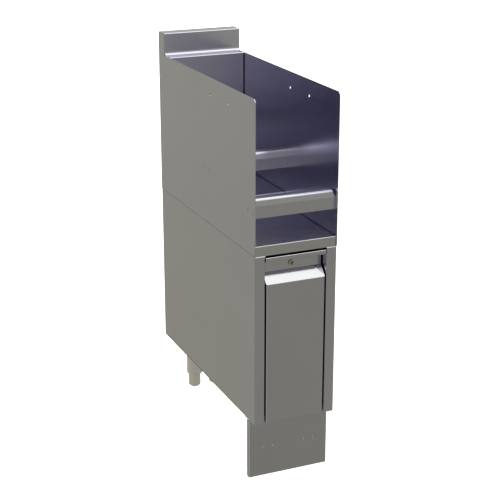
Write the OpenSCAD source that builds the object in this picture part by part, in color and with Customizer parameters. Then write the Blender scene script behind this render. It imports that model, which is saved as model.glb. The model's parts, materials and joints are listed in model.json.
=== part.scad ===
// Underbar unit: a stepped bottle well with two rails and a backsplash stands on a
// base cabinet with a tall lockable pull-out, a kick plate and four legs.
// Millimetres. X runs left to right, Y front to back and Z up. The origin is on the
// floor under the middle of the unit. Heights named z_ count from the floor, and
// distances named _y in the size list count from the front faces.

/* [Overall] */
// Width over the side panels
unit_w = 203.2; // [200:1:240]
// Depth from the front faces to the back face
unit_d = 603; // [595:1:660]
// Height from the floor to the underside of the base cabinet
leg_h = 152.4; // [145:1:175]
// Height of the base cabinet
base_h = 410.7; // [400:1:440]
// Height of the upper side panels
upper_h = 354.2; // [340:1:400]
// Thickness of the sheet metal
sheet_t = 1.5; // [1.3:0.1:1.7]
// Inner radius of the corner bends
bend_r = 2; // [1.5:0.1:2.5]
// Inner radius of the tight folds
fold_r = 1; // [0.6:0.1:1.4]

/* [Backsplash] */
// Height of the backsplash above the side panels
splash_h = 54.9; // [45:1:80]
// Depth of the backsplash, front to back
splash_d = 40.6; // [36:1:46]
// Radius of the cove at the foot of the backsplash
cove_r = 9.3; // [6:0.5:12]
// Depth of the ledge in front of the backsplash
ledge_d = 33.7; // [30:1:40]
// Open slit at each side of the well back
well_slit = 2; // [1.5:0.1:2.5]

/* [Upper side panels] */
// Cut at the front top corner of each panel
corner_cut = 6; // [4:0.5:10]
// Diameter of the holes that join a neighbouring unit
join_hole_d = 6.5; // [5:0.5:8]
// Distance of the front joining hole from the front
join_hole_y = 152.4; // [140:1:160]
// Spacing of the two joining holes
join_hole_pitch = 101.6; // [90:1:105]
// Depth of the joining holes below the top edge
join_hole_drop = 38.4; // [32:1:44]

// Gap under the edge of each side panel
seam_gap = 0.8; // [0.5:0.1:1.2]

/* [Tiers] */
// Height of the front tier above the base cabinet
front_tier_h = 23.8; // [20:1:30]
// Distance of the apron behind the front
apron_setback = 2; // [1:0.25:3]
// Rise from the front tier to the rear tier
tier_rise = 30.5; // [26:1:36]
// Distance of the rear tier's edge from the front
rear_tier_y = 275; // [262:1:285]
// Gap between the tiers and the side panels
tier_gap = 1.2; // [0.8:0.1:1.6]

/* [Bottle rails] */
// Depth of a rail over its two walls
rail_d = 30.2; // [27:1:34]
// Height of a rail
rail_h = 43; // [40:1:48]
// Height of the upright part of a rail's face
rail_face_h = 27.7; // [24:1:29]
// Lean of the band above the upright face in degrees
rail_lean = 20; // [15:1:25]
// Outer radius of the rolled top edge
rail_roll_r = 8; // [6:0.5:9]
// Distance of the front rail from the front
rail_y = 9.5; // [6:0.5:14]
// Height of the front rail's lower edge above the front tier
rail_lift = 62.5; // [55:1:80]
// Distance of the rear rail from the front
rear_rail_y = 264.6; // [255:1:272]
// Height of the rear rail above the front rail
rail_step = 32.6; // [28:1:38]
// Height of the slots that take the rails' tabs
rail_slot_h = 12.8; // [10:0.5:14]
// Width of those slots
rail_slot_w = 2.5; // [2.2:0.1:3]
// Cut at each end of the front rail's rolled top
rail_end_cut = 6.5; // [4:0.5:9]

/* [Base cabinet] */
// Width of each front stile
stile_w = 25.4; // [23:1:28]
// Depth of the flange behind each stile
stile_return = 22; // [18:1:24]
// Width of the flanges along the tops and bottoms of the sides
side_flange = 20; // [18:1:22]
// Length of the notch in the bottom flange behind the front
flange_notch = 55; // [48:1:60]
// Width of the flanges down the back of the sides
rear_flange = 15; // [12:1:18]

/* [Pull-out front] */
// Gap at each side of the pull-out front
door_gap = 3.2; // [2.5:0.1:4]
// Gap above the pull-out front
door_top_gap = 5.2; // [4:0.1:6]
// Gap below the pull-out front
door_foot_gap = 1.5; // [1:0.1:3]
// Thickness of the pull-out front
door_d = 31.7; // [30:0.1:33]
// Height of the strip above the pull
lip_h = 11; // [9:0.5:14]
// Reach of that strip beyond the sides of the front
lip_reach = 1.6; // [0.2:0.1:2.4]
// Depth of the recessed pull
pull_d = 23.7; // [20:0.1:25]
// Height of the upright wall of the pull
pull_wall_h = 29.3; // [27:0.1:34]
// Height of the slope below that wall
pull_slope_h = 24; // [18:0.1:30]
// Inner radius of the sharp bends round the pull
tight_r = 0.6; // [0.4:0.1:1]

/* [Lock] */
// Depth of the lock's axis below the top of the pull
lock_drop = 17; // [14:0.1:18]
// Diameter of the lock's head
lock_head_d = 15.8; // [15.2:0.2:18]
// Diameter of the lock's barrel
lock_barrel_d = 14; // [13:0.2:15]
// Diameter of the key plug
plug_d = 10; // [8:0.5:11]
// Reach of the cam from the lock's axis
cam_reach = 24; // [22:0.5:25]

/* [Pull-out body] */
// Height of the pull-out's side walls
box_wall_h = 150; // [140:1:180]
// Depth of the pull-out body behind its front
box_d = 505; // [490:1:520]
// Height of the bottle guard above the side walls
guard_h = 90; // [70:1:110]
// Diameter of the guard's rod
guard_rod_d = 6; // [5:0.5:7]

/* [Slides] */
// Length of a slide when closed
slide_len = 500; // [480:1:510]
// Height of a slide's outer member
slide_h = 45.6; // [43:0.5:48]
// Thickness of the slides' metal
slide_t = 1.2; // [1:0.1:1.3]
// Height of the slides' middle above the base cabinet's underside
slide_z = 85; // [75:1:100]

/* [Kick plate] */
// Distance of the kick plate from the front
kick_y = 32; // [28:1:36]
// Depth of the kick plate's side returns
kick_return = 12.4; // [10:0.5:14]
// Gap between the kick plate and the base cabinet
kick_top_gap = 2.5; // [1.5:0.1:4]
// Gap between the kick plate and the floor
kick_floor_gap = 1.6; // [1:0.1:3]
// Height of the kick plate's screws above the floor
kick_screw_z = 73; // [65:1:80]
// Spacing of the two screws in each clamp
kick_screw_pitch = 24; // [20:1:26]

/* [Legs] */
// Diameter of the leg tubes
leg_d = 41.3; // [38:0.5:44]
// Distance of the front legs from the middle
front_leg_x = 53; // [48:1:56]
// Distance of the rear legs from the middle
rear_leg_x = 29.6; // [27:0.5:36]
// Distance of the front legs from the front
front_leg_y = 70; // [66:1:76]
// Distance of the rear legs from the back
rear_leg_inset = 31; // [30:1:40]
// Height of the feet below the leg tubes
foot_h = 36; // [30:1:42]
// Width of a foot across its flats
foot_w = 30; // [27:0.5:32]
// Diameter of a foot's stud
stud_d = 12; // [10:0.5:14]

/* [Hidden] */
$fn = 48;

// Overrun of every cut past the face it opens
over = 2;
// Clearance of a turning or sliding fit, each side
run_gap = 0.06;
// Clearance between moving bodies
free_gap = 0.3;
// Clearance of a screw or tab in its hole, each side
hole_gap = 0.1;
// Segments in each bend of a folded sheet
bend_steps = 6;
// Segments in the cove and in the rolled rail edges
roll_steps = 14;

// Planes of the whole unit
half_w = unit_w / 2;
in_w = half_w - sheet_t;
front = -unit_d / 2;
back = unit_d / 2;
bend_out = bend_r + sheet_t;
fold_out = fold_r + sheet_t;
z_base = leg_h;
z_seam = z_base + base_h;
z_side = z_seam + upper_h;
z_top = z_side + splash_h;

// Backsplash
splash_y = back - splash_d;
ledge_y = splash_y - ledge_d;
splash_lip = 25;
well_return = 14;
z_front_tier = z_seam + front_tier_h;
z_rear_tier = z_front_tier + tier_rise;
well_tuck = 24;
cover_flange = 16;
cover_y = back - sheet_t;
rivet_d = 4;
rivet_head_d = 8;
rivet_head_h = 1.2;
rivet_drop = 14;
rivet_share = 0.7;
back_hole_d = 4;
back_hole_inset = 8.3;
back_hole_low = 32;
back_hole_high = 19.8;

// Upper box
upper_flange = 20;
apron_return = 18;
apron_y = front + apron_setback;
tier_rear_gap = 0.5;
tier_drop = 15;
tier_overlap = 25;
bar_w = 36;
bar_first_y = 45;
bar_middle_back = 10;
bar_last_inset = 52;
tab_inset = 0.3;
bolt_d = 6;
bolt_head_d = 10;
bolt_head_h = 4;
nut_h = 5;
bolt_tail = 3;
bolt_front_y = 110;
bolt_rear_inset = 82;
bolt_x = half_w - side_flange / 2 - sheet_t / 2;

// Base cabinet
rear_clip_y = 12;
head_return = 16;
pan_slack = 0.6;
pan_lip = 15;
door_w = unit_w - 2 * stile_w - 2 * door_gap;
pan_y = front + door_d + over;
top_rail_y = front + door_d + 8;
top_rail_h = 18;
top_rail_d = 24;
rear_rail_inset = 45;
rail_x = half_w - bend_out - pan_slack;
strike_w = 40;
strike_t = 2.5;
bumper_d = 8;
bumper_x_share = 0.72;

// Pull-out front
z_door = z_base + door_foot_gap;
z_door_top = z_seam - door_top_gap;
z_lip = z_door_top - lip_h;
z_wall = z_lip - pull_wall_h;
z_slope = z_wall - pull_slope_h;
door_back = front + door_d;
pull_y = front + pull_d;
liner_slack = 0.3;

// Lock
lock_z = z_lip - lock_drop;
lock_head_h = 3;
lock_nut_d = 20;
cam_t = 2.4;
cam_w = 14;
cam_square = 6;
cam_screw_d = 3.4;
cam_screw_head_d = 9;
cam_screw_head_h = 2;
cam_screw_len = 7;
cam_clear = 0.6;
strike_back = top_rail_y + sheet_t + strike_t;
cam_y = strike_back + cam_clear;
barrel_end = cam_y - free_gap;
key_w = 1.6;
key_h = 7;
key_d = 6;
lock_nut_gap = 0.2;
lock_nut_t = door_d - pull_d - 2 * sheet_t - 2 * lock_nut_gap;
barrel_hole_gap = 1;

// Slides and pull-out body
slide_x = half_w - stile_w;
slide_y = door_back + 4;
slide_w = 12.7;
slide_zc = z_base + slide_z;
web_gap = 0.4;
race_w = 2.8;
middle_h = slide_h - 2 * (slide_t + race_w + free_gap);
inner_h = middle_h - 2 * (slide_t + race_w + free_gap);
inner_flange_gap = 1;
flange_short = 1.2;
race_len_share = 0.42;
bracket_h = 62;
bracket_len = slide_len + 30;
box_x = slide_x - slide_w;
box_floor_z = z_base + 22;
box_wall_z = box_floor_z + box_wall_h;
box_y = door_back;
angle_w = 18;
angle_h = 110;
angle_lift = 14;
screw_d = 4;
screw_head_d = 7.6;
screw_head_h = 2;
slide_screw_shares = [0.08, 0.5, 0.92];
angle_screw_shares = [0.2, 0.8];
guard_inset = 12;
guard_end = 16;

// Legs and feet
leg_wall = 1.5;
leg_taper = 3;
leg_lip = 1.7;
bar_t = 3;
leg_bar_w = 56;
leg_bar_x = half_w - 6;
socket_d = 56;
socket_t = 4;
socket_plug_h = 18;
leg_bolt_d = 6;
leg_bolt_ring = 25.5;
leg_bolt_head_h = 3.5;
leg_bolt_head_d = 9;
insert_h = 20;
insert_lift = 4;
foot_gap = 0.4;
foot_bevel = 5;
foot_neck_h = 2;
stud_len = 42;
z_tube = foot_h + foot_gap;
z_tube_top = z_base - bar_t - socket_t;
leg_back_y = back - rear_leg_inset;
leg_front_y = front + front_leg_y;

// Kick plate
kick_front = front + kick_y;
kick_corner = 4;
z_kick = kick_floor_gap;
z_kick_top = z_base - kick_top_gap;
kick_hole_d = 4;
kick_dimple_d = 7.6;
kick_head_d = 6.2;
kick_head_sink = 0.3;
kick_side_hole_d = 3;
kick_side_hole_shares = [0.21, 0.76];
clamp_plate_w = 40;
clamp_h = 26;
clamp_t = 3;
clamp_mouth = 30;
kick_screw_len = 9;

steel = [0.62, 0.61, 0.59];
steel_inside = [0.55, 0.55, 0.56];
zinc = [0.7, 0.7, 0.68];
brass = [0.72, 0.6, 0.33];
black = [0.12, 0.12, 0.12];

// Direction from one point of a path to the next
function heading(path, i) = (path[i + 1] - path[i]) / norm(path[i + 1] - path[i]);
function left_of(v) = [-v[1], v[0]];
// The path moved sideways to its left, with mitred corners
function shifted(path, d) = [
    for (i = [0 : len(path) - 1])
        i == 0 ? path[0] + d * left_of(heading(path, 0))
        : i == len(path) - 1 ? path[i] + d * left_of(heading(path, i - 1))
        : let (a = left_of(heading(path, i - 1)), b = left_of(heading(path, i)))
            path[i] + d * (a + b) / (1 + a * b)
];
// Positive where the path turns to its left
function turn(path, i) =
    let (a = heading(path, i - 1), b = heading(path, i)) a[0] * b[1] - a[1] * b[0];
function halfway(a, b) = (a + b) / norm(a + b);
// Arc that rounds the corner at b between a and c
function corner_arc(a, b, c, r, steps) =
    let (
        u = (a - b) / norm(a - b),
        v = (c - b) / norm(c - b),
        half = acos(u * v) / 2,
        m = b + halfway(u, v) * r / sin(half),
        s = b + u * r / tan(half) - m,
        e = b + v * r / tan(half) - m,
        first = atan2(s[1], s[0]),
        sweep = atan2(s[0] * e[1] - s[1] * e[0], s * e)
    )
    [for (k = [0 : steps]) m + r * [cos(first + sweep * k / steps), sin(first + sweep * k / steps)]];
// One side of a folded sheet: side 0 is the path itself, side 1 lies a thickness to its left
function sheet_side(path, radii, t, side, steps) =
    let (line = shifted(path, side * t), last = len(path) - 1)
    [
        for (i = [0 : last])
            each (i == 0 || i == last ? [line[i]]
                : corner_arc(line[i - 1], line[i], line[i + 1],
                    radii[i - 1] + ((turn(path, i) * t > 0) == (side == 0) ? abs(t) : 0), steps))
    ];
function reversed(list) = [for (i = [len(list) - 1 : -1 : 0]) list[i]];
// Section of a sheet folded along a path, with the inner radius of each bend
module folded(path, radii, t = sheet_t, steps = bend_steps) {
    polygon(concat(sheet_side(path, radii, t, 0, steps), reversed(sheet_side(path, radii, t, 1, steps))));
}

// A section drawn in Y and Z, run along X
module along_x(x, len) {
    translate([x, 0, 0]) rotate([90, 0, 90]) linear_extrude(len) children();
}
// A section drawn in X and Z, run along Y
module along_y(y, len) {
    translate([0, y + len, 0]) rotate([90, 0, 0]) linear_extrude(len) children();
}
module rod_x(x, y, z, d, len) {
    translate([x, y, z]) rotate([0, 90, 0]) cylinder(d = d, h = len);
}
module rod_y(x, y, z, d, len) {
    translate([x, y + len, z]) rotate([90, 0, 0]) cylinder(d = d, h = len);
}
module mirrored(right) {
    if (right) mirror([1, 0, 0]) children();
    else children();
}
module both_sides() {
    children();
    mirror([1, 0, 0]) children();
}
function spread(shares, from, length) = [for (s = shares) from + s * length];

// Upper box

module rail_slots(y, z) {
    for (wall = [y + sheet_t / 2, y + rail_d - sheet_t / 2])
        translate([-half_w - over, wall - rail_slot_w / 2, z])
            cube([sheet_t + 2 * over, rail_slot_w, rail_slot_h]);
}

module upper_side(right) {
    slot_lift = (rail_face_h - rail_slot_h) / 2;
    color(steel) mirrored(right) {
        difference() {
            along_x(-half_w, sheet_t) polygon([
                [front, z_seam + seam_gap], [front, z_side - corner_cut], [front + corner_cut, z_side],
                [splash_y, z_side], [splash_y, z_top], [back, z_top], [back, z_seam + seam_gap]
            ]);
            for (k = [0, 1])
                rod_x(-half_w - over, front + join_hole_y + k * join_hole_pitch,
                    z_side - join_hole_drop, join_hole_d, sheet_t + 2 * over);
            rail_slots(front + rail_y, z_front_tier + rail_lift + slot_lift);
            rail_slots(front + rear_rail_y, z_front_tier + rail_lift + rail_step + slot_lift);
            for (z = [z_seam + back_hole_low, z_side + back_hole_high])
                rod_x(-half_w - over, back - back_hole_inset, z, back_hole_d, sheet_t + 2 * over);
        }
        difference() {
            translate([-in_w, apron_y + apron_return + over, z_seam])
                cube([upper_flange - sheet_t, cover_y - cover_flange - apron_y - apron_return - over, sheet_t]);
            joining_holes(bolt_d + 2 * hole_gap);
        }
    }
}

function joining_spots() = [front + bolt_front_y, back - bolt_rear_inset];

module joining_holes(d) {
    for (y = joining_spots())
        translate([-bolt_x, y, z_seam - sheet_t - over]) cylinder(d = d, h = 2 * sheet_t + 2 * over);
}

function splash_path() = [
    [back, z_top - splash_lip], [back, z_top], [splash_y, z_top], [splash_y, z_side],
    [ledge_y, z_side], [ledge_y, z_rear_tier - well_tuck]
];

module backsplash() {
    color(steel) {
        difference() {
            along_x(-in_w, 2 * in_w)
                folded(splash_path(), [fold_r, fold_r, cove_r, fold_r], steps = roll_steps);
            both_sides() translate([in_w - well_slit, ledge_y - over, z_rear_tier - well_tuck - over])
                cube([well_slit + over, well_return + 2 * over,
                    z_side - fold_out - z_rear_tier + well_tuck + over]);
            rivet_holes();
        }
        both_sides() translate([in_w - well_slit - sheet_t, ledge_y + sheet_t / 2, z_rear_tier - well_tuck])
            cube([sheet_t, well_return + sheet_t / 2, z_side - fold_out - z_rear_tier + well_tuck]);
    }
}

module upper_back() {
    color(steel_inside) difference() {
        translate([0, 0, z_seam]) linear_extrude(z_top - fold_out - z_seam)
            folded([
                [in_w, cover_y - cover_flange], [in_w, cover_y],
                [-in_w, cover_y], [-in_w, cover_y - cover_flange]
            ], [fold_r, fold_r]);
        rivet_holes();
        both_sides() for (z = [z_seam + back_hole_low, z_side + back_hole_high])
            rod_x(-in_w - over, back - back_hole_inset, z, back_hole_d, sheet_t + 2 * over);
    }
}

function rivet_spots() = [-in_w * rivet_share, 0, in_w * rivet_share];

module rivet_holes() {
    for (x = rivet_spots())
        rod_y(x, cover_y - sheet_t - over, z_top - rivet_drop, rivet_d + 2 * hole_gap,
            2 * sheet_t + 2 * over);
}

module back_rivets() {
    color(zinc) for (x = rivet_spots()) {
        rod_y(x, cover_y - sheet_t - rivet_head_h, z_top - rivet_drop, rivet_d,
            2 * sheet_t + rivet_head_h - hole_gap);
        rod_y(x, cover_y - sheet_t - rivet_head_h, z_top - rivet_drop, rivet_head_d, rivet_head_h);
    }
}

module lower_tier() {
    half = in_w - tier_gap;
    color(steel) {
        along_x(-half, 2 * half) folded([
            [front + rear_tier_y + tier_overlap, z_front_tier], [apron_y, z_front_tier],
            [apron_y, z_seam]
        ], [fold_r]);
        translate([-half, apron_y, z_seam]) cube([2 * half, apron_return, sheet_t]);
    }
}

module upper_tier() {
    half = in_w - tier_gap;
    rear = ledge_y - tier_rear_gap;
    color(steel) along_x(-half, 2 * half) folded([
        [rear, z_rear_tier - tier_drop], [rear, z_rear_tier],
        [front + rear_tier_y, z_rear_tier], [front + rear_tier_y, z_front_tier]
    ], [fold_r, fold_r]);
}

module rail_tab(wall, z) {
    tab_h = rail_slot_h - 2 * hole_gap;
    translate([-half_w + tab_inset, wall, z + (rail_face_h - tab_h) / 2])
        cube([2 * (half_w - tab_inset), sheet_t, tab_h]);
}

module rail_sheet(y, z) {
    lean_y = (rail_h - rail_face_h) * tan(rail_lean);
    along_x(-in_w, 2 * in_w) folded([
        [y + rail_d, z], [y + rail_d, z + rail_h], [y + lean_y, z + rail_h],
        [y, z + rail_face_h], [y, z]
    ], [bend_r, rail_roll_r - sheet_t, bend_r], steps = roll_steps);
}

module rail_end_cuts(y, z) {
    both_sides() along_y(y - over, rail_d + 2 * over) polygon([
        [in_w, z + rail_face_h], [in_w - rail_end_cut, z + rail_h],
        [in_w - rail_end_cut, z + rail_h + over], [in_w + over, z + rail_h + over],
        [in_w + over, z + rail_face_h]
    ]);
}

module rail_tabs(y, z) {
    rail_tab(y, z);
    rail_tab(y + rail_d - sheet_t, z);
}

module front_bottle_rail() {
    z = z_front_tier + rail_lift;
    color(steel) {
        difference() {
            rail_sheet(front + rail_y, z);
            rail_end_cuts(front + rail_y, z);
        }
        rail_tabs(front + rail_y, z);
    }
}

module rear_bottle_rail() {
    z = z_front_tier + rail_lift + rail_step;
    color(steel) {
        rail_sheet(front + rear_rail_y, z);
        rail_tabs(front + rear_rail_y, z);
    }
}

// Channel that stands on the side flanges and carries a tier
module tier_bar(y, top) {
    foot = z_seam + sheet_t;
    color(steel_inside) along_x(-in_w, 2 * in_w) folded([
        [y + bar_w, foot], [y + bar_w, top - sheet_t], [y, top - sheet_t], [y, foot]
    ], [fold_r, fold_r]);
}

module tier_bar_front() {
    tier_bar(front + bar_first_y, z_front_tier);
}

module tier_bar_middle() {
    tier_bar(front + rear_tier_y - bar_middle_back, z_front_tier);
}

module tier_bar_rear() {
    tier_bar(ledge_y - bar_last_inset, z_rear_tier);
}

module joining_bolts() {
    shank = 2 * sheet_t + nut_h + bolt_tail;
    color(zinc) both_sides() for (y = joining_spots()) {
        translate([bolt_x, y, z_seam + sheet_t]) cylinder(d = bolt_head_d, h = bolt_head_h, $fn = 6);
        translate([bolt_x, y, z_seam + sheet_t - shank]) cylinder(d = bolt_d, h = shank);
    }
}

module joining_nuts() {
    color(zinc) both_sides() for (y = joining_spots())
        translate([bolt_x, y, z_seam - sheet_t - nut_h]) difference() {
            cylinder(d = bolt_head_d, h = nut_h, $fn = 6);
            translate([0, 0, -over]) cylinder(d = bolt_d + 2 * run_gap, h = nut_h + 2 * over);
        }
}

// Base cabinet

function base_plan() = [
    [-half_w + rear_flange, back], [-half_w, back], [-half_w, front],
    [-half_w + stile_w, front], [-half_w + stile_w, front + stile_return]
];

module base_side(right) {
    color(steel) mirrored(right) {
        difference() {
            translate([0, 0, z_base]) linear_extrude(base_h - fold_out)
                folded(base_plan(), [bend_r, bend_r, bend_r]);
            translate([-half_w - over, front + flange_notch, z_base - over])
                cube([side_flange + over, unit_d, fold_out + over]);
        }
        along_y(front + flange_notch, unit_d - flange_notch - rear_clip_y) folded([
            [-half_w, z_base + 2 * fold_out], [-half_w, z_base], [-half_w + side_flange, z_base]
        ], [fold_r]);
        intersection() {
            union() {
                difference() {
                    along_y(front + fold_out, unit_d - fold_out) polygon([
                        [-half_w, z_seam - fold_out - sheet_t], [-half_w, z_seam],
                        [-half_w + side_flange, z_seam], [-half_w + side_flange, z_seam - sheet_t],
                        [-in_w, z_seam - sheet_t], [-in_w, z_seam - fold_out - sheet_t]
                    ]);
                    joining_holes(bolt_d + 2 * hole_gap);
                }
                along_x(-half_w, stile_w) folded([
                    [front + head_return, z_seam], [front, z_seam], [front, z_seam - fold_out - sheet_t]
                ], [fold_r]);
            }
            translate([0, 0, z_seam - side_flange]) linear_extrude(side_flange)
                base_outline();
        }
    }
}

// Filled outline of a side with its rounded corners
module base_outline() {
    polygon(concat(
        [[-half_w + stile_w, back], [-half_w + stile_w, front]],
        reversed(corner_arc([-half_w, back], [-half_w, front], [-half_w + stile_w, front],
            bend_out, bend_steps)),
        reversed(corner_arc([-half_w + stile_w, back], [-half_w, back], [-half_w, front],
            bend_out, bend_steps))
    ));
}

module base_back() {
    half = half_w - bend_out - pan_slack;
    color(steel_inside) translate([-half, back - 2 * sheet_t, z_base + 2 * sheet_t])
        cube([2 * half, sheet_t, base_h - 3 * sheet_t]);
}

module base_floor() {
    half = half_w - fold_out - pan_slack;
    rear = back - 2 * sheet_t;
    color(steel_inside) along_x(-half, 2 * half) folded([
        [pan_y, z_base + sheet_t], [rear, z_base + sheet_t], [rear, z_base + pan_lip]
    ], [fold_r]);
}

// Angle under the side flanges: its upright leg hangs down at y
module cross_rail(y, depth) {
    z = z_seam - sheet_t;
    color(steel_inside) along_x(-rail_x, 2 * rail_x) folded([
        [y + depth, z], [y, z], [y, z_seam - sheet_t - top_rail_h]
    ], [fold_r]);
}

module base_top_rail() {
    cross_rail(top_rail_y, top_rail_d);
}

module base_rear_rail() {
    cross_rail(back - rear_rail_inset, top_rail_d);
}

module lock_strike() {
    bottom = z_seam - sheet_t - top_rail_h;
    color(zinc) translate([-strike_w / 2, top_rail_y + sheet_t, bottom])
        cube([strike_w, strike_t, top_rail_h - sheet_t - fold_r]);
}

module door_bumpers() {
    length = top_rail_y - door_back - free_gap;
    color(black) both_sides()
        rod_y(door_w / 2 * bumper_x_share, door_back + free_gap,
            z_seam - sheet_t - top_rail_h / 2, bumper_d, length);
}

// Legs

function leg_spots() = [
    [-front_leg_x, leg_front_y], [front_leg_x, leg_front_y],
    [-rear_leg_x, leg_back_y], [rear_leg_x, leg_back_y]
];
leg_turn_shares = [0.125, 0.625];

module leg_bolt_holes(d, z, h) {
    for (p = leg_spots(), s = leg_turn_shares)
        translate([p[0], p[1], z]) rotate([0, 0, 360 * s]) translate([leg_bolt_ring, 0, 0])
            cylinder(d = d, h = h);
}

module leg_bar(y, depth) {
    color(steel_inside) difference() {
        translate([-leg_bar_x, y, z_base - bar_t]) cube([2 * leg_bar_x, depth, bar_t]);
        leg_bolt_holes(leg_bolt_d + 2 * hole_gap, z_base - bar_t - over, bar_t + 2 * over);
    }
}

module front_leg_bar() {
    leg_bar(leg_front_y - leg_bar_w / 2, leg_bar_w);
}

module rear_leg_bar() {
    leg_bar(leg_back_y - leg_bar_w / 2, leg_bar_w);
}

module leg_sockets() {
    color(zinc) difference() {
        for (p = leg_spots()) translate([p[0], p[1], z_base - bar_t - socket_t]) {
            cylinder(d = socket_d, h = socket_t);
            translate([0, 0, -socket_plug_h])
                cylinder(d = leg_d - 2 * leg_wall - 2 * run_gap, h = socket_plug_h + over);
        }
        leg_bolt_holes(leg_bolt_d + 2 * hole_gap, z_base - bar_t - socket_t - over, socket_t + 2 * over);
    }
}

module leg_bolts() {
    color(zinc) {
        leg_bolt_holes(leg_bolt_d, z_base - bar_t - socket_t, bar_t + socket_t);
        leg_bolt_holes(leg_bolt_head_d, z_base - bar_t - socket_t - leg_bolt_head_h, leg_bolt_head_h);
    }
}

module leg_tubes() {
    r = leg_d / 2;
    bore = r - leg_wall;
    color(steel) for (p = leg_spots()) translate([p[0], p[1], 0]) rotate_extrude() polygon([
        [bore, z_tube_top], [r, z_tube_top], [r, z_tube + leg_taper], [r - leg_taper, z_tube],
        [stud_d, z_tube], [stud_d, z_tube + leg_lip], [r - leg_taper - leg_lip / 2, z_tube + leg_lip],
        [bore, z_tube + insert_lift]
    ]);
}

module leg_inserts() {
    color(zinc) for (p = leg_spots()) translate([p[0], p[1], z_tube + insert_lift]) difference() {
        cylinder(d = leg_d - 2 * leg_wall - 2 * run_gap, h = insert_h);
        translate([0, 0, -over]) cylinder(d = stud_d + 2 * run_gap, h = insert_h + 2 * over);
    }
}

module foot(p) {
    r = foot_w / 2 / cos(30);
    color(steel) translate([p[0], p[1], 0]) {
        intersection() {
            cylinder(r = r, h = foot_h, $fn = 6);
            rotate_extrude() polygon([
                [0, 0], [foot_w / 2 - foot_bevel, 0], [r - foot_bevel / 4, foot_bevel],
                [r, foot_h - foot_neck_h], [r - foot_neck_h, foot_h], [0, foot_h]
            ]);
        }
        translate([0, 0, foot_h]) cylinder(d = stud_d, h = stud_len);
    }
}

module foot_front_left() {
    foot(leg_spots()[0]);
}

module foot_front_right() {
    foot(leg_spots()[1]);
}

module foot_rear_left() {
    foot(leg_spots()[2]);
}

module foot_rear_right() {
    foot(leg_spots()[3]);
}

// Kick plate

function kick_screw_spots() = [
    for (side = [-1, 1], k = [-1, 1]) side * front_leg_x + k * kick_screw_pitch / 2
];

module kick_plate() {
    rear = kick_front + kick_return;
    color(steel) difference() {
        translate([0, 0, z_kick]) linear_extrude(z_kick_top - z_kick) folded([
            [-half_w, rear], [-half_w, kick_front], [half_w, kick_front], [half_w, rear]
        ], [bend_r, bend_r]);
        for (x = kick_screw_spots()) {
            rod_y(x, kick_front - over, kick_screw_z, kick_hole_d + 2 * hole_gap, sheet_t + 2 * over);
            translate([x, kick_front - hole_gap, kick_screw_z]) rotate([-90, 0, 0])
                cylinder(d1 = kick_dimple_d, d2 = kick_hole_d, h = sheet_t);
        }
        both_sides() {
            for (z = spread(kick_side_hole_shares, z_kick, z_kick_top - z_kick))
                rod_x(-half_w - over, rear - kick_return / 3, z, kick_side_hole_d, sheet_t + 2 * over);
            along_x(-half_w - over, sheet_t + bend_r + over) difference() {
                translate([rear - kick_corner, z_kick - over])
                    square([kick_corner + over, kick_corner + over]);
                translate([rear - kick_corner, z_kick + kick_corner]) circle(r = kick_corner);
            }
        }
    }
}

module kick_clamps() {
    plate_y = kick_front + sheet_t;
    ring_r = leg_d / 2 + run_gap;
    color(zinc) both_sides() translate([front_leg_x, 0, kick_screw_z - clamp_h / 2]) difference() {
        union() {
            translate([-clamp_plate_w / 2, plate_y, 0]) cube([clamp_plate_w, clamp_t, clamp_h]);
            translate([-clamp_t, plate_y, 0])
                cube([2 * clamp_t, leg_front_y - ring_r - plate_y + clamp_t / 3, clamp_h]);
            translate([0, leg_front_y, 0]) cylinder(r = ring_r + clamp_t, h = clamp_h);
        }
        translate([0, leg_front_y, -over]) cylinder(r = ring_r, h = clamp_h + 2 * over);
        translate([-clamp_mouth / 2, leg_front_y, -over])
            cube([clamp_mouth, ring_r + clamp_t + over, clamp_h + 2 * over]);
        for (k = [-1, 1])
            rod_y(k * kick_screw_pitch / 2, plate_y - over, clamp_h / 2,
                kick_hole_d + 2 * hole_gap, clamp_t + 2 * over);
    }
}

module kick_screws() {
    color(zinc) for (x = kick_screw_spots()) {
        rod_y(x, kick_front + sheet_t / 2, kick_screw_z, kick_hole_d, kick_screw_len);
        translate([x, kick_front + kick_head_sink, kick_screw_z]) rotate([-90, 0, 0])
            cylinder(d1 = kick_head_d, d2 = kick_hole_d, h = sheet_t - 2 * kick_head_sink);
    }
}

// Slides

module slide_bracket(right) {
    low = slide_zc - bracket_h / 2;
    high = slide_zc + bracket_h / 2;
    color(steel_inside) mirrored(right) difference() {
        along_y(slide_y, bracket_len) folded([
            [-in_w, low], [-slide_x, low], [-slide_x, high], [-in_w, high]
        ], [fold_r, fold_r]);
        bracket_screw_holes();
    }
}

module bracket_screw_holes() {
    for (y = spread(slide_screw_shares, slide_y, slide_len))
        rod_x(-slide_x - sheet_t - over, y, slide_zc, screw_d + 2 * hole_gap,
            sheet_t + slide_t + 2 * over);
}

module slide_screws() {
    color(zinc) both_sides() for (y = spread(slide_screw_shares, slide_y, slide_len)) {
        rod_x(-slide_x - sheet_t, y, slide_zc, screw_d, sheet_t + slide_t);
        rod_x(-slide_x - sheet_t - screw_head_h, y, slide_zc, screw_head_d, screw_head_h);
    }
}

// C section of a slide member: web at x, flanges towards dir
module slide_channel(x, dir, height, flange) {
    h = height / 2;
    path = [[x + dir * flange, -h], [x, -h], [x, h], [x + dir * flange, h]];
    translate([0, slide_zc]) folded(dir > 0 ? reversed(path) : path, [fold_r / 2, fold_r / 2], slide_t);
}

module slide_outer(right) {
    color(zinc) mirrored(right) difference() {
        along_y(slide_y, slide_len)
            slide_channel(-slide_x, 1, slide_h, slide_w - flange_short);
        bracket_screw_holes();
    }
}

middle_x = slide_x - slide_t - web_gap;
inner_x = slide_x - slide_w;

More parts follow.
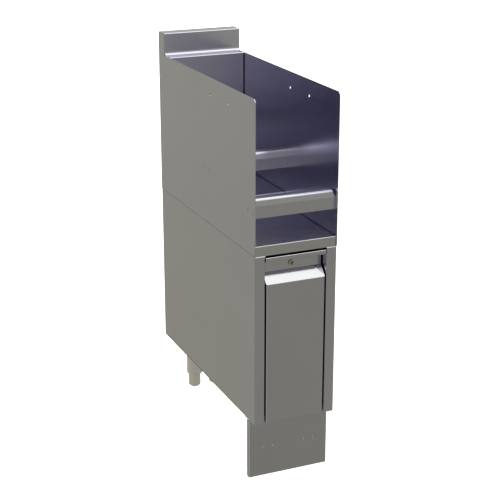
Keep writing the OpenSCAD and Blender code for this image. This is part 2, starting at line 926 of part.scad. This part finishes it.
module slide_middle(right) {
    color(zinc) mirrored(right) along_y(slide_y, slide_len)
        slide_channel(-middle_x, 1, middle_h, middle_x - inner_x - slide_t - 2 * free_gap);
}

module slide_inner(right) {
    color(zinc) mirrored(right) difference() {
        along_y(slide_y, slide_len)
            slide_channel(-inner_x, -1, inner_h, middle_x - inner_x - slide_t - inner_flange_gap);
        inner_screw_holes();
    }
}

// Ball races: the outer pair rides in the outer member, the inner pair carries the inner member
module slide_balls(right) {
    race_len = slide_len * race_len_share;
    flange = middle_x - inner_x - slide_t - 2 * free_gap;
    width = flange / 2;
    color(black) mirrored(right) for (up = [-1, 1]) {
        translate([-middle_x + flange - width - free_gap, slide_y + slide_len - race_len - over,
            slide_zc + (up > 0 ? middle_h / 2 : -middle_h / 2 - race_w)])
            cube([width, race_len, race_w]);
        translate([-middle_x + flange - width - free_gap, slide_y + over,
            slide_zc + (up > 0 ? inner_h / 2 + free_gap : -inner_h / 2 - free_gap - race_w)])
            cube([width, race_len, race_w]);
    }
}

module inner_screw_holes() {
    for (y = spread(slide_screw_shares, slide_y, slide_len))
        rod_x(-box_x - over, y, slide_zc, screw_d + 2 * hole_gap, sheet_t + slide_t + 2 * over);
}

// Pull-out

function door_path() = [
    [door_back - sheet_t, z_door_top], [front, z_door_top], [front, z_lip], [pull_y, z_lip],
    [pull_y, z_wall], [front, z_slope], [front, z_door], [door_back - sheet_t, z_door]
];

module drawer_front() {
    radii = [for (k = [1 : len(door_path()) - 2]) k > 4 ? bend_r : tight_r];
    side = sheet_side(door_path(), radii, sheet_t, 0, bend_steps);
    half = door_w / 2;
    color(steel) difference() {
        intersection() {
            union() {
                along_x(-half - lip_reach, door_w + 2 * lip_reach) folded(door_path(), radii);
                both_sides() along_x(-half, sheet_t) polygon(side);
            }
            union() {
                translate([0, 0, z_door]) linear_extrude(z_lip - z_door) polygon(concat(
                    [[half, door_back], [-half, door_back]],
                    corner_arc([-half, back], [-half, front], [half, front], bend_out, bend_steps),
                    corner_arc([-half, front], [half, front], [half, back], bend_out, bend_steps)
                ));
                translate([-half - lip_reach, front, z_lip])
                    cube([door_w + 2 * lip_reach, door_d, lip_h]);
            }
        }
        rod_y(0, pull_y - over, lock_z, lock_barrel_d + 2 * hole_gap, sheet_t + 2 * over);
    }
}

module drawer_liner() {
    half = door_w / 2 - liner_slack;
    color(steel_inside) difference() {
        translate([-half, door_back - sheet_t, z_door + liner_slack])
            cube([2 * half, sheet_t, z_door_top - z_door - 2 * liner_slack]);
        rod_y(0, door_back - sheet_t - over, lock_z, lock_barrel_d + 2 * barrel_hole_gap,
            sheet_t + 2 * over);
        angle_holes();
    }
}

module angle_holes() {
    both_sides() for (z = spread(angle_screw_shares, box_floor_z + angle_lift, angle_h))
        rod_y(box_x - sheet_t - angle_w / 2, box_y - sheet_t - over, z, screw_d + 2 * hole_gap,
            2 * sheet_t + 2 * over);
}

module drawer_body() {
    color(steel_inside) difference() {
        along_y(box_y, box_d) folded([
            [box_x, box_wall_z], [box_x, box_floor_z], [-box_x, box_floor_z], [-box_x, box_wall_z]
        ], [fold_r, fold_r], -sheet_t);
        both_sides() inner_screw_holes();
    }
}

module drawer_back() {
    half = box_x - sheet_t;
    color(steel_inside) translate([-half, box_y + box_d - sheet_t, box_floor_z + sheet_t + fold_r])
        cube([2 * half, sheet_t, box_wall_h - sheet_t - fold_r]);
}

module drawer_angles() {
    x = box_x - sheet_t;
    color(zinc) both_sides() difference() {
        translate([0, 0, box_floor_z + angle_lift]) linear_extrude(angle_h) folded([
            [x, box_y + angle_w], [x, box_y], [x - angle_w, box_y]
        ], [fold_r], -sheet_t);
        angle_holes();
    }
}

module drawer_screws() {
    x = box_x - sheet_t - angle_w / 2;
    color(zinc) both_sides() {
        for (z = spread(angle_screw_shares, box_floor_z + angle_lift, angle_h)) {
            rod_y(x, box_y - sheet_t, z, screw_d, 2 * sheet_t);
            rod_y(x, box_y + sheet_t, z, screw_head_d, screw_head_h);
        }
        for (y = spread(slide_screw_shares, slide_y, slide_len)) {
            rod_x(-box_x - slide_t, y, slide_zc, screw_d, sheet_t + slide_t);
            rod_x(-box_x + sheet_t, y, slide_zc, screw_head_d, screw_head_h);
        }
    }
}

module bottle_guard() {
    x = box_x - sheet_t - guard_inset;
    near = box_y + angle_w + guard_end;
    far = box_y + box_d - guard_end;
    floor_z = box_floor_z + sheet_t;
    top = box_wall_z + guard_h;
    color(steel) {
        both_sides() {
            rod_y(x, near, top, guard_rod_d, far - near);
            for (y = [near, far]) {
                translate([x, y, floor_z]) cylinder(d = guard_rod_d, h = top - floor_z);
                translate([x, y, top]) sphere(d = guard_rod_d);
            }
        }
        rod_x(-x, far, top, guard_rod_d, 2 * x);
    }
}

// Lock

module lock_body() {
    color(brass) difference() {
        union() {
            rod_y(0, pull_y - lock_head_h, lock_z, lock_head_d, lock_head_h);
            rod_y(0, pull_y - over / 2, lock_z, lock_barrel_d, barrel_end - pull_y + over / 2);
        }
        rod_y(0, pull_y - lock_head_h - over, lock_z, plug_d + 2 * run_gap,
            barrel_end - pull_y + lock_head_h + 2 * over);
    }
}

module lock_nut() {
    color(zinc) translate([0, pull_y + sheet_t, lock_z]) rotate([-90, 0, 0]) difference() {
        cylinder(d = lock_nut_d, h = lock_nut_t, $fn = 6);
        translate([0, 0, -over]) cylinder(d = lock_barrel_d + 2 * run_gap, h = lock_nut_t + 2 * over);
    }
}

module lock_plug() {
    face = pull_y - lock_head_h;
    color(brass) difference() {
        union() {
            rod_y(0, face, lock_z, plug_d, cam_y - face);
            translate([-cam_square / 2, cam_y - over, lock_z - cam_square / 2])
                cube([cam_square, cam_t + over, cam_square]);
        }
        translate([-key_w / 2, face - over, lock_z - key_h / 2]) cube([key_w, key_d + over, key_h]);
        rod_y(0, cam_y + cam_t - cam_screw_len, lock_z, cam_screw_d + 2 * run_gap, cam_screw_len + over);
    }
}

module lock_cam() {
    hole = cam_square + 2 * run_gap;
    color(zinc) difference() {
        union() {
            rod_y(0, cam_y, lock_z, cam_w, cam_t);
            rod_y(-cam_reach + cam_w / 2, cam_y, lock_z, cam_w, cam_t);
            translate([-cam_reach + cam_w / 2, cam_y, lock_z - cam_w / 2])
                cube([cam_reach - cam_w / 2, cam_t, cam_w]);
        }
        translate([-hole / 2, cam_y - over, lock_z - hole / 2]) cube([hole, cam_t + 2 * over, hole]);
    }
}

module cam_screw() {
    color(zinc) {
        rod_y(0, cam_y + cam_t - cam_screw_len + hole_gap, lock_z, cam_screw_d,
            cam_screw_len - hole_gap);
        rod_y(0, cam_y + cam_t, lock_z, cam_screw_head_d, cam_screw_head_h);
    }
}

upper_side(false);  // upper_left_side
upper_side(true);  // upper_right_side
backsplash();
upper_back();
back_rivets();
lower_tier();
upper_tier();
front_bottle_rail();
rear_bottle_rail();
tier_bar_front();
tier_bar_middle();
tier_bar_rear();
joining_bolts();
joining_nuts();
base_side(false);  // base_left_side
base_side(true);  // base_right_side
base_back();
base_floor();
base_top_rail();
base_rear_rail();
lock_strike();
door_bumpers();
front_leg_bar();
rear_leg_bar();
leg_sockets();
leg_bolts();
leg_tubes();
leg_inserts();
foot_front_left();
foot_front_right();
foot_rear_left();
foot_rear_right();
kick_plate();
kick_clamps();
kick_screws();
slide_bracket(false);  // slide_bracket_left
slide_bracket(true);  // slide_bracket_right
slide_screws();
slide_outer(false);  // slide_outer_left
slide_outer(true);  // slide_outer_right
slide_middle(false);  // slide_middle_left
slide_middle(true);  // slide_middle_right
slide_balls(false);  // slide_balls_left
slide_balls(true);  // slide_balls_right
slide_inner(false);  // slide_inner_left
slide_inner(true);  // slide_inner_right
drawer_front();
drawer_liner();
drawer_body();
drawer_back();
drawer_angles();
drawer_screws();
bottle_guard();
lock_body();
lock_nut();
lock_plug();
lock_cam();
cam_screw();
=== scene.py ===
import json
import math
import bpy
import bmesh
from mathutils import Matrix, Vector


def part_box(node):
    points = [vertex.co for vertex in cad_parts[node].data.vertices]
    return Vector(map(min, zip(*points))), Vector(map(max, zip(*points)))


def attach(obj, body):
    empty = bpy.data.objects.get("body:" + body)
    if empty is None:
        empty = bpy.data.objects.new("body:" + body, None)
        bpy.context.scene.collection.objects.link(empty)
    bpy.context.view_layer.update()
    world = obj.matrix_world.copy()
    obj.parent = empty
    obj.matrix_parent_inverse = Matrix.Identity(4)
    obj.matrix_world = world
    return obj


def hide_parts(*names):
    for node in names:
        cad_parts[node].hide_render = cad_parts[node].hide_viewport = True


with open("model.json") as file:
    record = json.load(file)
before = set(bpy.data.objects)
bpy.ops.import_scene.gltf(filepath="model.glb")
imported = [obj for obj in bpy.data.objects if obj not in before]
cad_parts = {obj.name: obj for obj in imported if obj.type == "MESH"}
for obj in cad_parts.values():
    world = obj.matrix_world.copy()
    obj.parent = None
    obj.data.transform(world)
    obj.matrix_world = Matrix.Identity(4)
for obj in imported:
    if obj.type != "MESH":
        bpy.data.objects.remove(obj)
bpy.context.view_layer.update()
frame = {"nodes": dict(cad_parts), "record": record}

nodes = frame["nodes"]
print("frame loaded:", len(nodes), "nodes")


def newMaterial(name):
    material = bpy.data.materials.new(name)
    material.use_nodes = True
    tree = material.node_tree
    return material, tree, tree.nodes["Principled BSDF"]


def feed(tree, value, socket):  # a socket takes another node's output or a plain value
    if isinstance(value, bpy.types.NodeSocket):
        tree.links.new(value, socket)
    else:
        socket.default_value = value


def addNode(tree, kind, **values):  # each value is a setting of the node or goes into a socket
    node = tree.nodes.new(kind)
    for key, value in values.items():
        if hasattr(node, key):
            setattr(node, key, value)
        else:
            feed(tree, value, node.inputs[key])
    return node


def maths(tree, operation, *values):
    node = addNode(tree, "ShaderNodeMath", operation=operation)
    for value, socket in zip(values, node.inputs):
        feed(tree, value, socket)
    return node.outputs["Value"]


def axesOf(tree, vector):
    return addNode(tree, "ShaderNodeSeparateXYZ", Vector=vector).outputs


def placeAxes(tree):  # where a point is on the object
    return axesOf(tree, addNode(tree, "ShaderNodeTexCoord").outputs["Object"])


def facingAxes(tree):  # which way a face looks
    return axesOf(tree, addNode(tree, "ShaderNodeNewGeometry").outputs["Normal"])


def stretchedPoint(tree, stretch=(1, 1, 1)):  # object place, squeezed along the grain
    place = addNode(tree, "ShaderNodeTexCoord")
    mapping = addNode(tree, "ShaderNodeMapping", Scale=stretch, Vector=place.outputs["Object"])
    return mapping.outputs["Vector"]


def noise(tree, vector, scale, detail=3.0, roughness=0.55):
    node = addNode(tree, "ShaderNodeTexNoise", Vector=vector, Scale=scale, Detail=detail, Roughness=roughness)
    return node.outputs["Fac"]


def ramp(tree, fac, stops):
    node = addNode(tree, "ShaderNodeValToRGB", Fac=fac)
    elements = node.color_ramp.elements
    while len(elements) > 1:
        elements.remove(elements[-1])
    (place, colour), *others = stops
    elements[0].position, elements[0].color = place, (*colour, 1)
    for place, colour in others:
        elements.new(place).color = (*colour, 1)
    return node.outputs["Color"]


def spread(tree, fac, lowest, highest, start=0.0, end=1.0):  # start to end becomes lowest to highest
    ends = {"From Min": start, "From Max": end, "To Min": lowest, "To Max": highest}
    return addNode(tree, "ShaderNodeMapRange", Value=fac, **ends).outputs["Result"]


def blend(tree, colour, tint, where=1.0):  # the colour times the tint, all over or where a mask says
    node = addNode(tree, "ShaderNodeMix", data_type="RGBA", blend_type="MULTIPLY",
                   Factor=where, A=colour, B=tint)
    return node.outputs["Result"]


def grey(level):
    return (level, level, level)


def drift(tree, place, scale, dark, pale, detail=3.0, stops=(0.3, 0.7)):  # wanders between two colours
    return ramp(tree, noise(tree, place, scale, detail), zip(stops, (dark, pale)))


def addBump(tree, shader, height, strength, distance):
    bump = addNode(tree, "ShaderNodeBump", Strength=strength, Distance=distance, Height=height)
    feed(tree, bump.outputs["Normal"], shader.inputs["Normal"])


# brushed stainless sheet with its grain, and painted light on some faces and edges: painted highlights and
# painted shade
steelLook = {
    "tone": 0.52, "warm": (1.0, 0.98, 1.2), "clouds": 0.02, "cloudScale": 4.5,
    "grainDepth": 0.05, "grainScale": 3000, "grainStretch": 0.008, "grainStops": (0.25, 0.75),
    "roughLow": 0.19, "roughHigh": 0.25, "smearScale": 22, "smearRough": 0.03,
    "bump": 0.01, "bumpDistance": 0.0002,
    "innerWidth": 0.1008, "paintedInnerLight": (1.16, 1.16, 1.22),
    "bottomShadeTint": (0.33, 0.33, 0.33), "bottomShadeStart": 0.005, "bottomShadeFull": 0.0034, "edgeFrom": 0.055,
    "rollFacing": (0.25, 0.6), "rollPlace": (0.026, 0.055), "rollShadeTint": (0.34, 0.34, 0.32),
    "bendHighlightTint": (1.6, 1.6, 1.75), "bendHighlightWide": 0.0016, "bendHighlightDeep": 0.0016,
    "flatStart": 0.9, "flatEnd": 0.99, "flatBelow": 0.94, "seamFrom": 0.0965, "seamLeft": 0.55,
}


def paintInnerLight(tree, colour, look):  # painted light: the faces that look into the well are lightened and made a little bluer
    width = maths(tree, "ABSOLUTE", placeAxes(tree)["X"])
    inside = maths(tree, "LESS_THAN", width, look["innerWidth"])
    return blend(tree, colour, (*look["paintedInnerLight"], 1), inside)


def paintBottomShade(tree, colour, look, bottom, front):  # painted shade along the lowest edge, behind the front post
    place = placeAxes(tree)
    near = spread(tree, place["Z"], 0.0, 1.0, bottom + look["bottomShadeStart"], bottom + look["bottomShadeFull"])
    behind = maths(tree, "GREATER_THAN", place["Y"], front + look["edgeFrom"])
    return blend(tree, colour, (*look["bottomShadeTint"], 1), maths(tree, "MULTIPLY", near, behind))


def paintBendHighlight(tree, colour, look, corner, top):  # painted highlight on the left bend
    place = placeAxes(tree)
    highlit = maths(tree, "LESS_THAN", place["Z"], top)
    for axis, limit in (("X", corner[0] + look["bendHighlightWide"]), ("Y", corner[1] + look["bendHighlightDeep"])):
        highlit = maths(tree, "MULTIPLY", highlit, maths(tree, "LESS_THAN", place[axis], limit))
    return blend(tree, colour, (*look["bendHighlightTint"], 1), highlit)


def paintRollShade(tree, colour, look):  # painted shade on the rolled top, dimming its highlight except at the left end
    upward = spread(tree, facingAxes(tree)["Z"], 0.0, 1.0, *look["rollFacing"])
    right = spread(tree, placeAxes(tree)["X"], 0.0, 1.0, *look["rollPlace"])
    return blend(tree, colour, (*look["rollShadeTint"], 1), maths(tree, "MULTIPLY", upward, right))


def paintFlatShade(tree, colour, look, tint):  # painted shade on the low upward flats, and darker still near the side seams
    place = placeAxes(tree)
    flat = spread(tree, facingAxes(tree)["Z"], 0.0, 1.0, look["flatStart"], look["flatEnd"])
    low = maths(tree, "LESS_THAN", place["Z"], look["flatBelow"])
    seam = maths(tree, "GREATER_THAN", maths(tree, "ABSOLUTE", place["X"]), look["seamFrom"])
    flatShading = spread(tree, seam, tint, tint * look["seamLeft"])
    return blend(tree, colour, flatShading, maths(tree, "MULTIPLY", flat, low))


def brushedSteel(name, grain, tone=1.0, rough=0.0, warm=None, paintedInnerLight=False,
                 edgeAt=None, flatShade=None, bendHighlightAt=None, rollShade=False):
    look = steelLook
    material, tree, shader = newMaterial(name)
    squeeze = [1.0, 1.0, 1.0]
    squeeze["XYZ".index(grain)] = look["grainStretch"]
    fine = noise(tree, stretchedPoint(tree, squeeze), look["grainScale"], detail=2.0)
    place = stretchedPoint(tree)
    smears = noise(tree, place, look["smearScale"], detail=5.0, roughness=0.65)
    tint = warm or look["warm"]
    level = look["tone"] * tone
    deep = tuple(level * (1 - look["clouds"]) * t for t in tint)
    light = tuple(level * (1 + look["clouds"]) * t for t in tint)
    colour = drift(tree, place, look["cloudScale"], deep, light, detail=4.0)
    streaks = ramp(tree, fine, zip(look["grainStops"], (grey(1 - look["grainDepth"]), grey(1))))
    colour = blend(tree, colour, streaks)
    if paintedInnerLight:
        colour = paintInnerLight(tree, colour, look)
    if flatShade:
        colour = paintFlatShade(tree, colour, look, flatShade)
    if edgeAt:
        colour = paintBottomShade(tree, colour, look, *edgeAt)
    if rollShade:
        colour = paintRollShade(tree, colour, look)
    if bendHighlightAt:
        colour = paintBendHighlight(tree, colour, look, *bendHighlightAt)
    feed(tree, colour, shader.inputs["Base Color"])
    shader.inputs["Metallic"].default_value = 1.0
    grainRough = spread(tree, fine, look["roughLow"] + rough, look["roughHigh"] + rough)
    smearRough = spread(tree, smears, -look["smearRough"], look["smearRough"])
    feed(tree, maths(tree, "ADD", grainRough, smearRough), shader.inputs["Roughness"])
    addBump(tree, shader, fine, look["bump"], look["bumpDistance"])
    return material


# zinc and nickel plating of the small hardware
plateLook = {
    "flakeScale": 260, "flakeRough": (-0.05, 0.08), "cloudScale": 30, "bump": 0.06, "bumpDistance": 0.0002,
}


def paintRecessShade(tree, colour, face, shadeStart, shadeFull, left):  # painted shade on what sits deeper than the outer face
    deep = spread(tree, placeAxes(tree)["Y"], 0.0, 1.0, face + shadeStart, face + shadeFull)
    return blend(tree, colour, (*grey(left), 1), deep)


def platedMetal(name, tint, rough=0.32, spots=0.08, recessShade=None):
    look = plateLook
    material, tree, shader = newMaterial(name)
    place = stretchedPoint(tree)
    flakes = noise(tree, place, look["flakeScale"])
    dark = tuple(t * (1 - spots) for t in tint)
    pale = tuple(min(1.0, t * (1 + spots)) for t in tint)
    colour = drift(tree, place, look["cloudScale"], dark, pale, detail=4.0)
    if recessShade:
        colour = paintRecessShade(tree, colour, *recessShade)
    feed(tree, colour, shader.inputs["Base Color"])
    shader.inputs["Metallic"].default_value = 1.0
    smooth, dull = look["flakeRough"]
    feed(tree, spread(tree, flakes, rough + smooth, rough + dull), shader.inputs["Roughness"])
    addBump(tree, shader, flakes, look["bump"], look["bumpDistance"])
    return material


# ball cages and drawer bumpers
blackLook = {
    "poreScale": 420, "poreRough": (0.5, 0.75), "cloudScale": 35, "shades": (0.8, 1.2),
    "bump": 0.2, "bumpDistance": 0.0003,
}


def mouldedBlack(name, tone):
    look = blackLook
    material, tree, shader = newMaterial(name)
    place = stretchedPoint(tree)
    pores = noise(tree, place, look["poreScale"])
    dark, pale = (grey(tone * shade) for shade in look["shades"])
    feed(tree, drift(tree, place, look["cloudScale"], dark, pale), shader.inputs["Base Color"])
    feed(tree, spread(tree, pores, *look["poreRough"]), shader.inputs["Roughness"])
    addBump(tree, shader, pores, look["bump"], look["bumpDistance"])
    return material


# how far the painted highlights and painted shade reach from a piece's corner or face; the shade starts here,
# is full there, and what it leaves
paintedReach = {
    "doorHighlightIn": 0.0016, "doorHighlightBelow": 0.065, "kickHighlightAbove": 0.001,
    "lockShade": (0.0004, 0.0016, 0.4), "screwShade": (-0.0001, 0.0003, 0.05),
}
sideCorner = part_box("base_left_side")[0]
doorCorner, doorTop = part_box("drawer_front")
kickCorner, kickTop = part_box("kick_plate")
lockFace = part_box("lock_plug")[0][1]
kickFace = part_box("kick_screws")[0][1]
doorHighlight = ((doorCorner[0] + paintedReach["doorHighlightIn"], doorCorner[1]), doorTop[2] - paintedReach["doorHighlightBelow"])
kickHighlight = (kickCorner, kickTop[2] + paintedReach["kickHighlightAbove"])
lockShade = (lockFace, *paintedReach["lockShade"])
screwShade = (kickFace, *paintedReach["screwShade"])

# the tone of each steel copy is set part by part: the rear rail, backsplash and well back are lifted as
# painted light, and the kick plate is darkened
sideSteel = brushedSteel("sideSteel", "Y", tone=1.01, edgeAt=(sideCorner[2], sideCorner[1]))
wellSideSteel = brushedSteel("wellSideSteel", "Y", tone=1.02, warm=(1.0, 0.98, 1.22), paintedInnerLight=True)
frontSteel = brushedSteel("frontSteel", "Z", rough=-0.1, bendHighlightAt=doorHighlight)
crossSteel = brushedSteel("crossSteel", "X", tone=1.02)
tierSteel = brushedSteel("tierSteel", "X", tone=1.03, warm=(1.0, 0.98, 1.16), flatShade=0.72)
splashSteel = brushedSteel("splashSteel", "X", tone=1.15, warm=(1.0, 0.985, 1.26), flatShade=0.6)
legSteel = brushedSteel("legSteel", "Z", tone=1.57, warm=(1.04, 1.0, 1.1))
insideSteel = brushedSteel("insideSteel", "Y", rough=0.06)
rearRailSteel = brushedSteel("rearRailSteel", "X", tone=1.3, rough=0.08, rollShade=True)
wellBackSteel = brushedSteel("wellBackSteel", "Z", tone=1.12, rough=0.06, flatShade=0.6)
kickSteel = brushedSteel("kickSteel", "X", tone=0.95, bendHighlightAt=kickHighlight)
zincPlate = platedMetal("zincPlate", tint=(0.6, 0.6, 0.7))
lockPlate = platedMetal("lockPlate", tint=(0.53, 0.51, 0.48), rough=0.22, recessShade=lockShade)
screwPlate = platedMetal("screwPlate", tint=(0.66, 0.66, 0.8), rough=0.12, recessShade=screwShade)
raceBlack = mouldedBlack("raceBlack", tone=0.03)
rubberBlack = mouldedBlack("rubberBlack", tone=0.02)

finishes = {
    "upper_left_side": wellSideSteel, "upper_right_side": wellSideSteel,
    "base_left_side": sideSteel, "base_right_side": sideSteel,
    "backsplash": splashSteel, "lower_tier": tierSteel, "upper_tier": tierSteel,
    "front_bottle_rail": crossSteel, "rear_bottle_rail": rearRailSteel,
    "drawer_front": frontSteel, "kick_plate": kickSteel, "leg_tubes": legSteel, "upper_back": wellBackSteel,
    "bottle_guard": legSteel,
}
slotFinishes = {  # for a piece without a finish of its own
    "stainless": legSteel, "stainless_inside": insideSteel, "zinc": zincPlate,
    "race": raceBlack, "brass": lockPlate, "rubber": rubberBlack,
}
slotOf = {row["node"]: row["material_slot"] for row in frame["record"]["subparts"]}
for name, node in nodes.items():
    material = finishes.get(name, slotFinishes[slotOf[name]])
    for slot in node.material_slots:
        slot.material = material
print("finishes set:", len(bpy.data.materials))


def clearSelection():
    if bpy.context.object and bpy.context.object.mode != "OBJECT":
        bpy.ops.object.mode_set(mode="OBJECT")
    bpy.ops.object.select_all(action="DESELECT")


def pickOnly(piece):
    clearSelection()
    piece.select_set(True)
    bpy.context.view_layer.objects.active = piece


def selectFacing(direction, least=0.9):  # faces of the piece in edit mode that look one way
    piece = bpy.context.edit_object
    bpy.ops.mesh.select_mode(type="FACE")
    bpy.ops.mesh.select_all(action="DESELECT")
    mesh = bmesh.from_edit_mesh(piece.data)
    for face in mesh.faces:
        face.select_set(face.normal.dot(Vector(direction)) > least)
    bmesh.update_edit_mesh(piece.data)


def cutAway(piece, cutter):
    pickOnly(piece)
    cut = piece.modifiers.new("cut", "BOOLEAN")
    cut.operation, cut.object, cut.solver = "DIFFERENCE", cutter, "EXACT"
    bpy.ops.object.modifier_apply(modifier=cut.name)
    bpy.data.objects.remove(cutter, do_unlink=True)


def settle(piece, material, angle=30):  # its place goes into its mesh, and it gets its finish
    pickOnly(piece)
    bpy.ops.object.transform_apply(location=True, rotation=True, scale=True)
    bpy.ops.object.shade_smooth_by_angle(angle=math.radians(angle))
    piece.data.materials.clear()
    piece.data.materials.append(material)


# screws of the kick plate: raised heads with a cross recess
kickScrew = {
    "sides": 32, "headRadius": 0.0031, "rim": 0.0003, "sink": 0.0009, "shankRadius": 0.0019, "shank": 0.0075,
    "crown": ((0.0007, 0.0006), (0.0008, 0.0005)), "recessWide": 0.0038, "recessThin": 0.0013,
    "recessDeep": 0.0034, "places": (-0.065, -0.041, 0.041, 0.065), "height": 0.073,
}


def addKickScrews():
    look = kickScrew
    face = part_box("kick_screws")[0][1]
    clearSelection()
    bpy.ops.mesh.primitive_cylinder_add(vertices=look["sides"], radius=look["headRadius"], depth=look["rim"],
                                        location=(0, face, look["height"]), rotation=(math.pi / 2, 0, 0))
    screw = bpy.context.object
    bpy.ops.object.transform_apply(location=True, rotation=True, scale=True)
    bpy.ops.object.mode_set(mode="EDIT")
    crown = 0.0
    for inward, rise in look["crown"]:
        selectFacing((0, -1, 0))
        bpy.ops.mesh.inset(thickness=inward)
        bpy.ops.transform.translate(value=(0, -rise, 0))
        crown += rise
    selectFacing((0, 1, 0))
    bpy.ops.mesh.extrude_region_move(TRANSFORM_OT_translate={"value": (0, look["sink"], 0)})
    shrink = look["shankRadius"] / look["headRadius"]
    bpy.ops.transform.resize(value=(shrink, shrink, shrink))
    bpy.ops.mesh.extrude_region_move(TRANSFORM_OT_translate={"value": (0, look["shank"], 0)})
    bpy.ops.object.mode_set(mode="OBJECT")
    for wide, tall in ((look["recessWide"], look["recessThin"]), (look["recessThin"], look["recessWide"])):
        bpy.ops.mesh.primitive_cube_add(size=1, location=(0, face - crown, look["height"]),
                                        scale=(wide, look["recessDeep"], tall))
        cutAway(screw, bpy.context.object)
    copies = []
    for place in look["places"]:
        pickOnly(screw)
        bpy.ops.object.duplicate()
        bpy.context.object.location.x = place
        copies.append(bpy.context.object)
    bpy.data.objects.remove(screw, do_unlink=True)
    pickOnly(copies[0])
    for piece in copies:
        piece.select_set(True)
    bpy.ops.object.transform_apply(location=True, rotation=True, scale=True)
    bpy.ops.object.join()
    screws = bpy.context.object
    screws.name = "kickScrews"
    settle(screws, screwPlate)
    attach(screws, "cabinet")
    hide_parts("kick_screws")


# key plug with a dished face
keyPlug = {"dishRadius": 0.0065, "dishDepth": 0.002, "segments": 48, "rings": 32, "merge": 0.000002}


def addKeyPlug():
    look = keyPlug
    low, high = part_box("lock_plug")
    plug = bpy.data.objects.new("keyPlug", nodes["lock_plug"].data.copy())
    bpy.context.collection.objects.link(plug)
    pickOnly(plug)
    bpy.ops.object.mode_set(mode="EDIT")
    bpy.ops.mesh.select_all(action="SELECT")
    bpy.ops.mesh.remove_doubles(threshold=look["merge"])
    clearSelection()
    place = ((low[0] + high[0]) / 2, low[1] - look["dishRadius"] + look["dishDepth"], (low[2] + high[2]) / 2)
    bpy.ops.mesh.primitive_uv_sphere_add(segments=look["segments"], ring_count=look["rings"],
                                         radius=look["dishRadius"], location=place)
    cutAway(plug, bpy.context.object)
    settle(plug, lockPlate)
    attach(plug, "lock")
    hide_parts("lock_plug")


addKickScrews()
addKeyPlug()
print("screws and key plug made")


# pale floor and backdrop for the camera, and a room for the steel, from straight down to straight up
studio = {
    "floorSize": 60.0, "floorTone": 0.8, "floorShade": 0.99, "floorClouds": 2.0, "floorGlow": 0.85,
    "backdropSize": 56.0, "backdropSegments": 48, "backdropRings": 24, "backdropGlow": 1.0,
    "room": (
        (0.0, (0.389, 0.384, 0.292)), (0.34, (0.389, 0.384, 0.292)), (0.5, (0.437, 0.437, 0.343)),
        (0.79, (0.517, 0.517, 0.436)), (0.89, (1.85, 1.89, 1.57)), (1.0, (1.85, 1.89, 1.57)),
    ),
    "backShare": 0.11, "cornerShade": 0.45,
    "cornerRange": {"X": (-0.3, 0.15), "Z": (0.0, -0.25), "Y": (0.62, 0.85)},
}


def hideFromSteel(stagePiece):  # the light stays soft and even, the floor isn't mirrored
    stagePiece.visible_glossy = False
    stagePiece.visible_diffuse = False
    stagePiece.visible_transmission = False
    stagePiece.visible_shadow = False


def glowing(stagePiece, name, finish, glow):  # lit by itself, so it stays pale behind the object
    stagePiece.name = name
    material, tree, shader = newMaterial(finish)
    shader.inputs["Specular IOR Level"].default_value = 0.0
    shader.inputs["Emission Color"].default_value = (1, 1, 1, 1)
    shader.inputs["Emission Strength"].default_value = glow
    stagePiece.data.materials.append(material)
    hideFromSteel(stagePiece)
    return tree, shader


def addFloor():
    bpy.ops.mesh.primitive_plane_add(size=studio["floorSize"], location=(0, 0, 0))
    tree, shader = glowing(bpy.context.object, "studioFloor", "paleFloor", studio["floorGlow"])
    dark, pale = grey(studio["floorTone"] * studio["floorShade"]), grey(studio["floorTone"])
    colour = drift(tree, stretchedPoint(tree), studio["floorClouds"], dark, pale)
    feed(tree, colour, shader.inputs["Base Color"])
    shader.inputs["Roughness"].default_value = 1.0


def addBackdrop():
    bpy.ops.mesh.primitive_uv_sphere_add(
        segments=studio["backdropSegments"], ring_count=studio["backdropRings"],
        radius=studio["backdropSize"] / 2)
    shader = glowing(bpy.context.object, "studioBackdrop", "paleBackdrop", studio["backdropGlow"])[1]
    shader.inputs["Base Color"].default_value = (0, 0, 0, 1)


def addSoftLight():  # a wide bright ceiling over a dimmer room, dimmest low in its far right corner
    world = bpy.data.worlds.new("studioRoom")
    bpy.context.scene.world = world
    world.use_nodes = True
    tree = world.node_tree
    background = tree.nodes["Background"]
    way = axesOf(tree, addNode(tree, "ShaderNodeTexCoord").outputs["Generated"])
    height = spread(tree, way["Z"], 0.0, 1.0, start=-1.0)
    depth = spread(tree, way["Y"], 1 - studio["backShare"], 1 + studio["backShare"], start=-1.0)
    corner = 1.0
    for axis, ends in studio["cornerRange"].items():
        corner = maths(tree, "MULTIPLY", corner, spread(tree, way[axis], 0.0, 1.0, *ends))
    shade = spread(tree, corner, 1.0, studio["cornerShade"])
    feed(tree, ramp(tree, height, studio["room"]), background.inputs["Color"])
    feed(tree, maths(tree, "MULTIPLY", shade, depth), background.inputs["Strength"])


addFloor()
addBackdrop()
addSoftLight()
print("studio set")


# the camera stands where the photograph was taken from
camera = {
    "place": (-1.1849, -2.7614, 1.5021),
    "forward": (0.37746, 0.86748, -0.32405), "right": (0.91701, -0.39886, 0.00042),
    "focalPixels": 1290.98, "longSidePixels": 500, "sensor": 36.0, "clipEnd": 200,
}


def addCamera():
    data = bpy.data.cameras.new("photoCamera")
    data.sensor_width = camera["sensor"]
    data.sensor_fit = "AUTO"
    data.lens = camera["sensor"] * camera["focalPixels"] / camera["longSidePixels"]
    data.clip_end = camera["clipEnd"]
    seen = bpy.data.objects.new("photoCamera", data)
    bpy.context.collection.objects.link(seen)
    forward = Vector(camera["forward"]).normalized()
    right = Vector(camera["right"])
    right = (right - forward * right.dot(forward)).normalized()
    up = right.cross(forward)
    turn = seen.matrix_world.to_3x3()
    for row in range(3):
        turn[row] = (right[row], up[row], -forward[row])
    seen.matrix_world = turn.to_4x4()
    seen.location = camera["place"]
    bpy.context.scene.camera = seen


addCamera()
bpy.context.scene.view_settings.view_transform = "Standard"
print("camera set")
